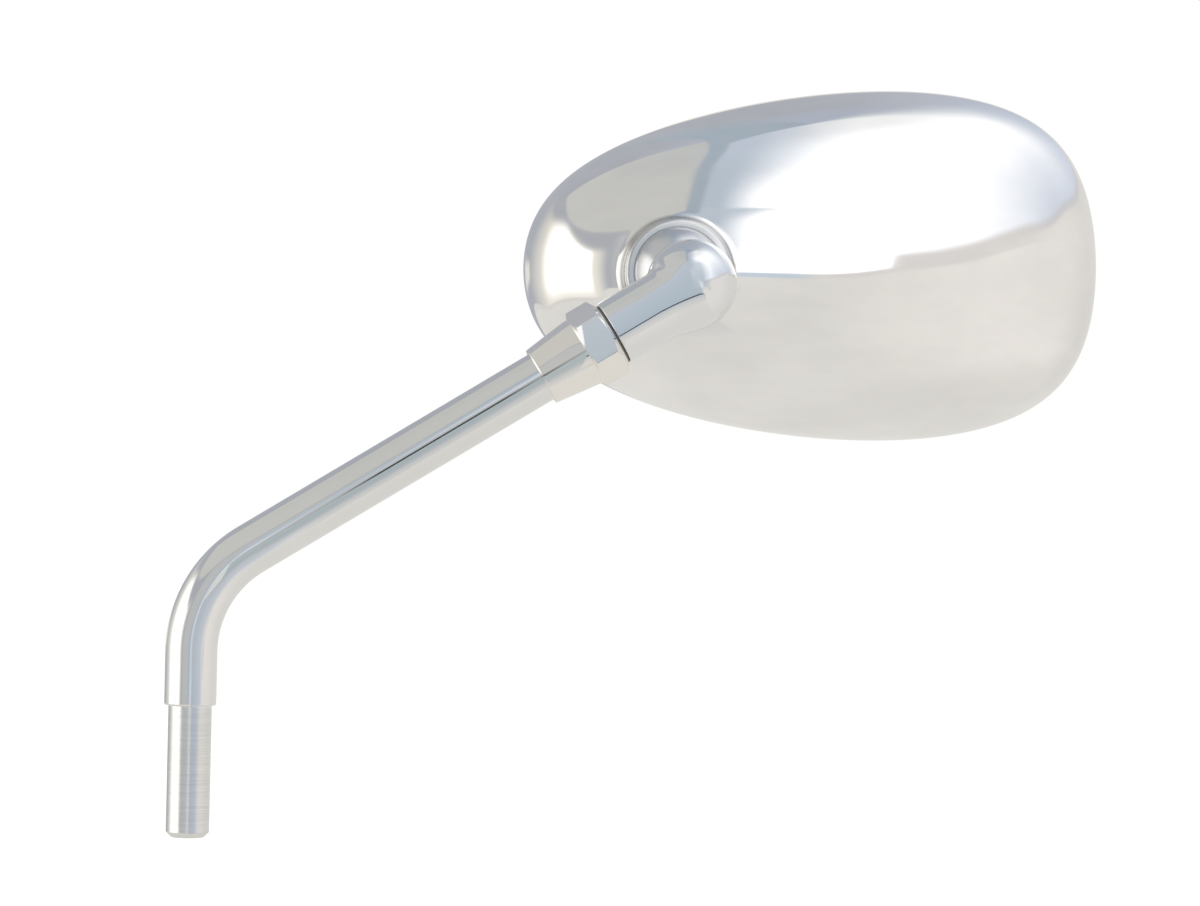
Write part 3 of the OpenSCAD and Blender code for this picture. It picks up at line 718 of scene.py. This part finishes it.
rod_profile = rounded([(0, -PEG_L), (PEG_R - PEG_CHAMFER, -PEG_L, 0.25), (PEG_R, PEG_CHAMFER - PEG_L, 0.3),
                       (PEG_R, 0, 0.15), (ROD_R, 0, 0.45), (ROD_R, ARM_START + ROD_END, 0.4),
                       (CORE_R, ARM_START + ROD_END, 0.1), (CORE_R, TIP - THREAD_CHAMFER, 0.1),
                       (CORE_R - THREAD_CHAMFER, TIP), (0, TIP)], hold=0.1)
stations = []
for (r0, s0), (r1, s1) in zip(rod_profile, rod_profile[1:]):
    parts = max(1, int((s1 - s0) / STATION_STEP)) if abs(r1 - r0) < 1e-6 else 1
    stations += [(r0 + (r1 - r0) * k / parts, s0 + (s1 - s0) * k / parts) for k in range(parts)]
stations.append(rod_profile[-1])
path, radii, last = [], [], -1e9
for r, s in stations:
    s = max(s, last + 0.004)
    path.append(rod_point(s) * MM)
    radii.append(max(r, 0.002) * MM)
    last = s
path_mesh = bpy.data.meshes.new("rod path")
path_mesh.from_pydata(path, [(i, i + 1) for i in range(len(path) - 1)], [])
path_mesh.attributes.new("rod radius", "FLOAT", "POINT").data.foreach_set("value", radii)
print("stations on the rod:", len(path))

# %% Sweep the rod
rod_tree, g, rod_in = geometry_tree("bent rod", [("Sides", "Int", 96)])
line = g.add("GeometryNodeMeshToCurve", {0: rod_in["Geometry"]})
width = g.add("GeometryNodeInputNamedAttribute", {"Name": "rod radius"}, {"data_type": "FLOAT"})
circle = g.add("GeometryNodeCurvePrimitiveCircle", {"Resolution": rod_in["Sides"], "Radius": 1.0})
swept = g.add("GeometryNodeCurveToMesh",
              {"Curve": line, "Profile Curve": circle, "Scale": width, "Fill Caps": True})
end_tree(g, swept, rod_in["Finish"])
rod_mesh = grow("stem", path_mesh, rod_tree, {"Sides": 128, "Finish": chrome_rod})
finish_piece("stem_rod", rod_mesh, chrome_rod, "stem", ["stem"])

# %% [markdown]
# ## The thread
# Where the nut backs off, the rod's thread shows. It repeats along the rod, so a tree sweeps a small
# triangle along a spiral that sits on the turned-down core.

# %% Thread
THREAD_FROM, THREAD_TO = ROD_END + 1.2, THREAD_END - 1.6
THREAD_L = THREAD_TO - THREAD_FROM
thread_inputs = [("Turns", 20.0), ("Length", 0.02), ("Radius", 0.004), ("Depth", 0.0007)]
thread_tree, g, thread_in = geometry_tree("thread", [(name, "Float", v) for name, v in thread_inputs])
spiral = g.add("GeometryNodeCurveSpiral", {
    "Resolution": 48, "Rotations": thread_in["Turns"], "Start Radius": thread_in["Radius"],
    "End Radius": thread_in["Radius"], "Height": thread_in["Length"]})
spiral = g.add("GeometryNodeSetCurveNormal", {"Curve": spiral}, {"mode": "Z_UP"})
ridge = g.add("GeometryNodeCurvePrimitiveCircle", {"Resolution": 4, "Radius": thread_in["Depth"]})
ridges = g.add("GeometryNodeCurveToMesh", {"Curve": spiral, "Profile Curve": ridge, "Fill Caps": True})
end_tree(g, ridges, thread_in["Finish"])
thread_mesh = grow("thread", bpy.data.meshes.new("thread seed"), thread_tree, {
    "Turns": THREAD_L / THREAD_PITCH, "Length": THREAD_L * MM, "Radius": CORE_R * MM,
    "Depth": THREAD_DEPTH * MM, "Finish": chrome_rod})
thread_mesh.transform(on_arm(THREAD_FROM) @ Matrix.Scale(1 / MM, 4))
finish_piece("stem_thread", thread_mesh, chrome_rod, "stem")

# %% [markdown]
# ## Washer and lock nut
# The nut is a hexagon with a tapered skirt in one. Its chamfers are cones, and a cone cuts the six
# flats in curved lines, so each column of the mesh finds its own height for the edge. A bevel then
# rounds the edges a little.

# %% Washer, coloured dark grey, which draws the dark line between the nut and the elbow
WASHER_PLAY, WASHER_DISH, LOW_ROUND, TOP_ROUND = 0.05, 0.02, 0.08, 0.2
bore, washer_top = THREAD_R + 0.2, WASHER_T - WASHER_PLAY
washer_corners = [(bore, 0), (bore, WASHER_DISH), (WASHER_R, 0, LOW_ROUND),
                  (WASHER_R, washer_top, TOP_ROUND), (bore, washer_top), (bore, washer_top - WASHER_DISH)]
turned_piece("lock_washer_ring", rounded(washer_corners, steps=3, hold=0.03), 96, on_arm(ARM_L - WASHER_T),
             dark_steel, "washer", "dark_washer", ["lock_washer"])

# %% Nut
NUT_COLUMNS, CHAMFER_RISE, SKIRT_STEPS, NUT_BEVEL = 240, tan(radians(30)), 6, 0.12
END_IN, END_DOWN, SKIRT_IN, FOOT_IN, NUT_PLAY, BORE_END = 0.3, 0.35, 0.05, 0.3, 0.1, NUT_L - NUT_THREAD_L


def nut_column(angle):
    """The nut's outline at one angle, as (radius, height), from the elbow's side round to the bore."""
    inside = (degrees(angle) - NUT_TURN) % 60 - 30
    flat = NUT_AF / 2 / cos(radians(inside))
    face, top = NUT_AF / 2 - NUT_FACE_IN, NUT_AF / 2 - SKIRT_IN
    edge = (flat - face) * CHAMFER_RISE
    hexagon = [(CORE_R, NUT_L), (face - 1.0, NUT_L), (face - END_IN, NUT_L),
               (flat, NUT_L - edge - END_DOWN), (flat, NUT_SKIRT_L + edge),
               (top, NUT_SKIRT_L + (top - face) * CHAMFER_RISE), (top, NUT_SKIRT_L)]
    skirt = [(top + (NUT_SKIRT_R - top) * k / SKIRT_STEPS, NUT_SKIRT_L * (1 - k / SKIRT_STEPS))
             for k in range(1, SKIRT_STEPS)]
    foot = [(NUT_SKIRT_R + 0.04, FOOT_IN), (NUT_SKIRT_R - 0.09, 0.09), (NUT_SKIRT_R - FOOT_IN, 0),
            (ROD_R + NUT_PLAY, 0), (ROD_R + NUT_PLAY, BORE_END), (CORE_R, BORE_END)]
    return hexagon + skirt + foot


nut_angles = [2 * pi * i / NUT_COLUMNS for i in range(NUT_COLUMNS)]
nut_rings = list(zip(*([(r * cos(a), r * sin(a), z) for r, z in nut_column(a)] for a in nut_angles)))
nut = add_piece("lock_nut_body", *rings_to_mesh(nut_rings, closed=True), on_arm(ARM_L - WASHER_T - NUT_L),
                chrome_nut, "nut", "bright_nut", ["lock_nut"], sharp=12.0)
bevel = nut.modifiers.new("edges", "BEVEL")
bevel.width, bevel.segments, bevel.limit_method = NUT_BEVEL * MM, 2, "ANGLE"
bevel.angle_limit, bevel.harden_normals = radians(20), True

# %% [markdown]
# ## The elbow
# The elbow's leg runs into a round end through a hollow blend, as a casting does. The shape follows
# a rule: a cylinder and a ball, joined softly, and cut by two flats. The rule is written once, in
# plain arithmetic. Geometry Nodes reads it with wires and fills a volume, whose surface becomes the
# mesh, and numpy reads the same rule to settle each point on it exactly and to find its normal.

# %% The rule of the elbow
def root(x):
    return x.maths("SQRT") if isinstance(x, Wire) else np.sqrt(x)


def larger(a, b):
    wire = a if isinstance(a, Wire) else b
    return wire.maths("MAXIMUM", b if wire is a else a) if isinstance(wire, Wire) else np.maximum(a, b)


def smaller(a, b):
    return -larger(-a, -b)


def soft_min(a, b, k):
    gap = a - b
    near = larger(k - larger(gap, -gap), 0.0) / k
    return smaller(a, b) - near * near * k * 0.25


def soft_max(a, b, k):
    return -soft_min(-a, -b, k)


BLEND_ABOVE, BLEND_BELOW, FACE_BLEND, END_BLEND = 0.9, 3.6, 0.6, 1.0


def elbow_rule(x, y, z):
    """Below 0 inside the elbow, in millimetres: z along the leg, y towards the ball, x downwards."""
    leg = soft_max(root(x * x + y * y) - LEG_R, z - LEG_L, END_BLEND)
    dy, dz = y - BULB_BACK, z - LEG_L
    bulb = root(x * x + dy * dy + dz * dz) - BULB_R
    below = smaller(larger(x / (2 * LEG_R) + 0.5, 0.0), 1.0)
    body = soft_min(leg, bulb, below * (BLEND_BELOW - BLEND_ABOVE) + BLEND_ABOVE)
    body = soft_max(body, -z, FACE_BLEND)
    return soft_max(body, y - SEAT_BACK, FACE_BLEND)


# %% Fill a volume and read its surface
ELBOW_STEP, OUTSIDE = 0.33, -5.0
elbow_low, elbow_high = (-12.0, -10.0, -1.5), (12.0, 11.5, 34.0)
elbow_inputs = [("Min", "Vector"), ("Max", "Vector")]
elbow_inputs += [("Resolution " + axis, "Int", 32) for axis in "XYZ"]
elbow_tree, g, elbow_in = geometry_tree("elbow", elbow_inputs)
here = g.add("GeometryNodeInputPosition")
sizes = {name: elbow_in[name] for name, *_ in elbow_inputs}
volume = g.add("GeometryNodeVolumeCube", {
    "Density": -elbow_rule(*(here.part(axis) for axis in range(3))), "Background": OUTSIDE, **sizes})
skin = g.add("GeometryNodeVolumeToMesh", {"Volume": volume, "Threshold": 0.0, "Adaptivity": 0.0})
end_tree(g, skin, elbow_in["Finish"])
values = {"Min": elbow_low, "Max": elbow_high, "Finish": chrome_elbow}
for axis, a, b in zip("XYZ", elbow_low, elbow_high):
    values["Resolution " + axis] = int((b - a) / ELBOW_STEP)
elbow_mesh = grow("elbow", bpy.data.meshes.new("elbow seed"), elbow_tree, values)
print("elbow skin:", len(elbow_mesh.vertices), "points")


# %% Settle the points on the rule and keep its normals
def settle(mesh, rule, place, rounds=4):
    """Moves each point onto the rule's surface, puts the mesh in its place and returns the normals."""
    p = np.zeros(len(mesh.vertices) * 3)
    mesh.vertices.foreach_get("co", p)
    p = p.reshape(-1, 3)
    tiny = 1e-4

    def slope():
        moves = np.eye(3) * tiny
        return np.stack([rule(*(p + m).T) - rule(*(p - m).T) for m in moves], 1) / (2 * tiny)

    for _ in range(rounds):
        s = slope()
        p -= s * (rule(*p.T) / np.maximum((s * s).sum(1), 0.05))[:, None]
    s = slope()
    s /= np.linalg.norm(s, axis=1)[:, None]
    matrix = np.array(place)
    mesh.vertices.foreach_set("co", (p @ matrix[:3, :3].T + matrix[:3, 3]).ravel())
    mesh.update()
    normals = s @ matrix[:3, :3].T
    return normals / np.linalg.norm(normals, axis=1)[:, None]


elbow_normals = settle(elbow_mesh, elbow_rule, on_arm(ARM_L) @ turn(NECK_TURN, "Z"))
elbow_mesh.polygons.foreach_set("use_smooth", [True] * len(elbow_mesh.polygons))
dress(elbow_mesh, chrome_elbow)
elbow_mesh.normals_split_custom_set_from_vertices([tuple(n) for n in elbow_normals])
elbow = link("elbow_casting", elbow_mesh)
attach(elbow, "elbow")
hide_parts("elbow")

# %% [markdown]
# ## The ball
# The ball and its short shank are turned in one. Only the front of the ball shows, in the gap
# between the elbow and the boss of the housing.

# %% Ball
flat_angle = acos((BALL_BACK - SEAT_BACK) / BALL_R)
ball_arc = arc((0, 0), BALL_R, flat_angle - pi / 2, pi / 2, 72)
turned_piece("ball", [(0, SEAT_BACK - BALL_BACK), *ball_arc[:-1], (0, BALL_R)], 128,
             NECK @ shift(0, 0, BALL_BACK), ball_steel, "elbow", "ball_steel", ["ball_stud"])

# %% [markdown]
# ## The housing
# The dome, its boss and the inside are one casting. Every plane through the axis of the boss cuts
# the wall in one closed line: over the lip, down a hollow flare onto the dome, out to the rim, round
# it, back along the inside, and through the tube that guides the springs. The mesh is this line,
# drawn in a few hundred planes, so the boss stays perfectly round and the rim exactly follows its
# outline. Where the flare meets the dome, a circle that touches both is found for each plane.

# %% Outline and dome
rim_top = max(sin(radians(a)) + RIM_EGG * sin(radians(2 * a)) for a in range(91))
RIM_A = HEAD_L / 2 / (1 - RIM_BLUNT)
RIM_C = -RIM_BLUNT * RIM_A
RIM_B = HEAD_H / 2 / rim_top
RIM_D = RIM_EGG * RIM_B


def rim_point(a, inset, f=1.0):
    x = (RIM_A - inset) * f * np.cos(a) + RIM_C * f ** 3 * np.cos(3 * a)
    y = (RIM_B - inset) * f * np.sin(a) + RIM_D * f ** 2 * np.sin(2 * a)
    return x, y


def dome_share(x, y, inset):
    """Squared share of the way from the dome's top to its rim, at a point of the rim plane."""
    a, b, c, d = RIM_A - inset, RIM_B - inset, RIM_C, RIM_D
    u, v = x / a, y / b
    for _ in range(14):
        fx = a * u + c * (u ** 3 - 3 * u * v * v) - DOME_SHIFT * (1 - u * u - v * v) - x
        fy = b * v + 2 * d * u * v - y
        xu = a + 3 * c * (u * u - v * v) + 2 * DOME_SHIFT * u
        xv = -6 * c * u * v + 2 * DOME_SHIFT * v
        yu, yv = 2 * d * v, b + 2 * d * u
        det = xu * yv - xv * yu
        u, v = u - (fx * yv - fy * xv) / det, v - (fy * xu - fx * yu) / det
    return u * u + v * v


def dome_height(share, depth):
    return depth * np.clip(1 - share, 0, None) ** (1 / DOME_POWER)


RAYS = 360
ray_angles = np.arange(RAYS) * 2 * pi / RAYS
ray_x, ray_y = np.cos(ray_angles), np.sin(ray_angles)


def along(rho):
    """Point of the rim plane at a distance from the boss's axis, one row for each ray."""
    return -BOSS_IN + rho * ray_x[:, None], -BOSS_LOW + rho * ray_y[:, None]


def rim_reach(inset):
    """Distance from the boss's axis to the outline, for each ray."""
    a = np.linspace(0, 2 * pi, 6000, endpoint=False)
    x, y = rim_point(a, inset)
    x, y = x + BOSS_IN, y + BOSS_LOW
    return np.interp(ray_angles, np.arctan2(y, x), np.hypot(x, y), period=2 * pi)[:, None]


def section(inset, depth, start, count):
    """Dense (distance, height) line of the dome for each ray, from a distance out to the rim."""
    reach = rim_reach(inset)
    s = np.linspace(0, 1, count)[None, :]
    rho = start + (reach - start) * (1 - (1 - s) ** 4)
    return rho, dome_height(dome_share(*along(rho), inset), depth)


# %% The flare between boss and dome
FLARE_STEPS, DOME_POINTS, RIM_ROUND = 14, 96, 0.6
FLARES = [(-180, 3.0), (-110, 2.0), (-40, 1.2), (20, 1.4), (60, 2.2), (95, 2.8), (140, 3.0), (180, 3.0)]
LIP_Z = BALL_DEPTH + sqrt(SEAT_R ** 2 - BOSS_HOLE_R ** 2)
WALL_TOP = LIP_Z - LIP_ROUND
turns = (np.degrees(ray_angles) + 180) % 360 - 180
flare_log = np.interp(turns, [a for a, _ in FLARES], [log(r) for _, r in FLARES])
weights = np.hanning(21) / np.hanning(21).sum()
flare_radius = np.exp(np.convolve(np.tile(flare_log, 3), weights, "same")[RAYS:2 * RAYS])
rho, z = section(0.0, DOME_L, BOSS_LIP_R - 3, 3000)
slope_rho, slope_z = np.gradient(rho, axis=1), np.gradient(z, axis=1)
length = np.hypot(slope_rho, slope_z)
normal_rho, normal_z = -slope_z / length, slope_rho / length


def first_crossing(values):
    """Place, as a fractional index, where values first go from below 0 to above it."""
    j = int(np.argmax(values > 0))
    return j - values[j] / (values[j] - values[j - 1])


def at_place(line, place):
    j = int(place)
    return line[j] + (line[j + 1] - line[j]) * (place - j)


def flare(k):
    """One ray's arc from the boss's wall, or its lip where the wall is short, and the dome beyond."""
    r = flare_radius[k]
    off_rho, off_z = rho[k] + r * normal_rho[k], z[k] + r * normal_z[k]
    place = first_crossing(off_rho - (BOSS_LIP_R + r))
    if at_place(off_z, place) > WALL_TOP:
        apart = np.hypot(off_rho - BOSS_LIP_R, off_z - WALL_TOP) - r
        place = first_crossing(np.where(off_rho > BOSS_LIP_R, apart, -1.0))
    centre = np.array([at_place(off_rho, place), at_place(off_z, place)])
    foot = np.array([at_place(rho[k], place), at_place(z[k], place)])
    start = np.array([BOSS_LIP_R, min(centre[1], WALL_TOP)])
    a0, a1 = (atan2(*(p - centre)[::-1]) % (2 * pi) for p in (start, foot))
    beyond = np.stack([rho[k], z[k]], 1)[int(place) + 1:]
    dome = spread(np.vstack([foot, beyond]), np.linspace(0, 1, DOME_POINTS + 1)[1:], RIM_ROUND)
    return arc(centre, r, a0, a1, FLARE_STEPS), dome


flares = [flare(k) for k in range(RAYS)]
feet = [float(flare_arc[-1][0]) for flare_arc, _ in flares]
print("flare foot from", round(min(feet), 2), "to", round(max(feet), 2))

# %% The whole wall line, plane by plane
INNER_POINTS, INNER_ROUND, EDGE_ROUND, EDGE_FROM = 40, 0.3, 0.28, 0.2
reach_out, reach_in, reach_ledge = (rim_reach(inset)[:, 0] for inset in (0.0, WALL, WALL + LEDGE_W))
seat_from = atan2(-CUP_STEP, sqrt(SEAT_R ** 2 - CUP_STEP ** 2))
seat_to = atan2(LIP_Z - 0.3 - BALL_DEPTH, BOSS_HOLE_R)
seat_arc = arc((0, BALL_DEPTH), SEAT_R, seat_from, seat_to, 22)
lip_arc = arc((BOSS_LIP_R - LIP_ROUND, WALL_TOP), LIP_ROUND, pi / 2, 0, 7)
mouth = arc((BOSS_HOLE_R + EDGE_ROUND, LIP_Z - EDGE_ROUND), EDGE_ROUND, pi - EDGE_FROM, pi / 2, 6)
mouth += [(BOSS_HOLE_R + EDGE_ROUND + 0.1, LIP_Z), (BOSS_LIP_R - LIP_ROUND - 0.15, LIP_Z)]
tube_end = BALL_DEPTH - TUBE_END
tube = [(TUBE_R, tube_end), (TUBE_IN_R, tube_end), (TUBE_IN_R, BALL_DEPTH - CUP_STEP)]


def wall_line(flared, inside, rim, wall, ledge):
    """The wall's closed line in one plane: mouth, lip, flare, dome, rim, ledge, inside, tube and seat."""
    flare_arc, dome = flared
    line = mouth + lip_arc + flare_arc + [tuple(p) for p in dome]
    line += arc((rim - RIM_ROUND, RIM_ROUND), RIM_ROUND, 0, -pi / 2, 5)[1:]
    line += [(wall + INNER_ROUND, 0.0), (wall + 0.1, 0.1), (wall, INNER_ROUND), (wall, LEDGE_AT),
             (ledge, LEDGE_AT), (ledge, LEDGE_AT + LEDGE_T)]
    above = inside[inside[:, 1] > LEDGE_AT + LEDGE_T]
    return line + [tuple(p) for p in spread(above, np.linspace(1, 0, INNER_POINTS))] + tube + seat_arc


insides = np.stack(section(WALL, DOME_L - WALL, TUBE_R, 900), 2)
lines = [wall_line(*parts) for parts in zip(flares, insides, reach_out, reach_in, reach_ledge)]
house_rings = [[(-BOSS_IN + r * x, -BOSS_LOW + r * y, z) for (r, z), x, y in zip(ring, ray_x, ray_y)]
               for ring in zip(*lines)]

# %% The marks of the lathe on the boss, painted shade on its lip and flare, and the housing
MOUTH_SHARE, LIP_SHARE, FLARE_SHADED, FLARE_FADE = 0.45, 0.8, 8, 3
# The shares darken the base colour and add lathe lines: on the mouth, the lip and the upper part of the
# hollow flare the darkening is painted shade; the seat inside is turned.
turned_and_shaded_share = [MOUTH_SHARE] * len(mouth) + [LIP_SHARE] * len(lip_arc)
fading = FLARE_SHADED + FLARE_FADE - np.arange(len(lines[0]) - len(turned_and_shaded_share))
turned_and_shaded_share += list(np.clip(fading / FLARE_FADE, 0, 1))
turned_and_shaded_share[-len(seat_arc):] = [1.0] * len(seat_arc)
points, faces = rings_to_mesh(house_rings, closed=True)
house_mesh = bpy.data.meshes.new("housing_shell")
house_mesh.from_pydata([HEAD @ Vector(p) for p in points], [], faces)
for name, values in (("lathe", turned_and_shaded_share), ("lathe line", run_length(lines[0]))):
    house_mesh.attributes.new(name, "FLOAT", "POINT").data.foreach_set("value", np.repeat(values, RAYS))
finish_piece("housing_shell", house_mesh, aluminium, "head", ["housing"], sharp=38.0)

# %% [markdown]
# ## Glass and gasket
# The glass is a slice of a large sphere, cut to the outline, and the gasket grips its edge. Rings of
# the same outline, moved in and set at their height, make both.

# %% Glass
OUTLINE_STEPS = 288
outline_angles = np.arange(OUTLINE_STEPS) * 2 * pi / OUTLINE_STEPS


def sag(x, y):
    return (x * x + y * y) / (2 * GLASS_CURVE)


def outline_ring(inset, f, height):
    """A ring of the outline whose height above the rim plane is a number plus the lens."""
    x, y = rim_point(outline_angles, inset, f)
    return [(a, b, height + sag(a, b)) for a, b in zip(x, y)]


GLASS_FOOT = GLASS_TOP + GLASS_T
shares = np.linspace(1, 0.05, 22)
glass_rings = [[(0, 0, GLASS_TOP)]] + [outline_ring(GLASS_IN, f, GLASS_TOP) for f in shares[::-1]]
glass_rings += [outline_ring(GLASS_IN, f, GLASS_FOOT) for f in shares] + [[(0, 0, GLASS_FOOT)]]
add_piece("mirror_pane", *rings_to_mesh(glass_rings, caps=False), HEAD, silvered, "head", "mirror_glass",
          ["mirror_glass"])

# %% Gasket
def flat_ring(inset, height):
    x, y = rim_point(outline_angles, inset)
    return [(a, b, height) for a, b in zip(x, y)]


back_at = GASKET_TOP + GASKET_H
outer_steps = [(0, back_at), (0, 0.25), (0.1, -0.05), (0.35, -0.22), (0.7, GASKET_TOP),
               (1.5, GASKET_TOP + 0.04), (2.2, GASKET_TOP + 0.2)]
glass_steps = [(GASKET_IN - 0.35, GLASS_TOP - 0.3), (GASKET_IN - 0.08, GLASS_TOP - 0.14),
               (GASKET_IN, GLASS_TOP), (GLASS_IN, GLASS_TOP), (GLASS_IN, GLASS_FOOT),
               (GASKET_IN, GLASS_FOOT)]
gasket_rings = [flat_ring(GASKET_OUT + inward, height) for inward, height in outer_steps]
gasket_rings += [outline_ring(inset, 1.0, height) for inset, height in glass_steps]
gasket_rings += [flat_ring(GASKET_IN, back_at)]
add_piece("glass_gasket_ring", *rings_to_mesh(gasket_rings, closed=True), HEAD, rubber, "head",
          "gasket_rubber", ["glass_gasket"])

# %% [markdown]
# ## What the housing hides
# The pad, cup, springs, plate, screws, carrier and foam keep their CAD solids, with a finish each.

# %% Finishes of the hidden pieces
HIDDEN = [(nylon, ["friction_pad"]), (carrier_plastic, ["glass_carrier"]), (foam_stuff, ["foam_pad"]),
          (spring_steel, ["disc_spring_front", "disc_spring_rear"]),
          (zinc_steel, ["spring_cup", "clamp_plate", "clamp_screws", "carrier_screws"])]
for material, nodes in HIDDEN:
    for node in nodes:
        dress(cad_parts[node].data, material)

# %% Sizes for the record, and the end
visual_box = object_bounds()
for label, box in (("CAD box", cad_box), ("visual box", visual_box)):
    print(label, [tuple(round(v, 4) for v in p) for p in box])
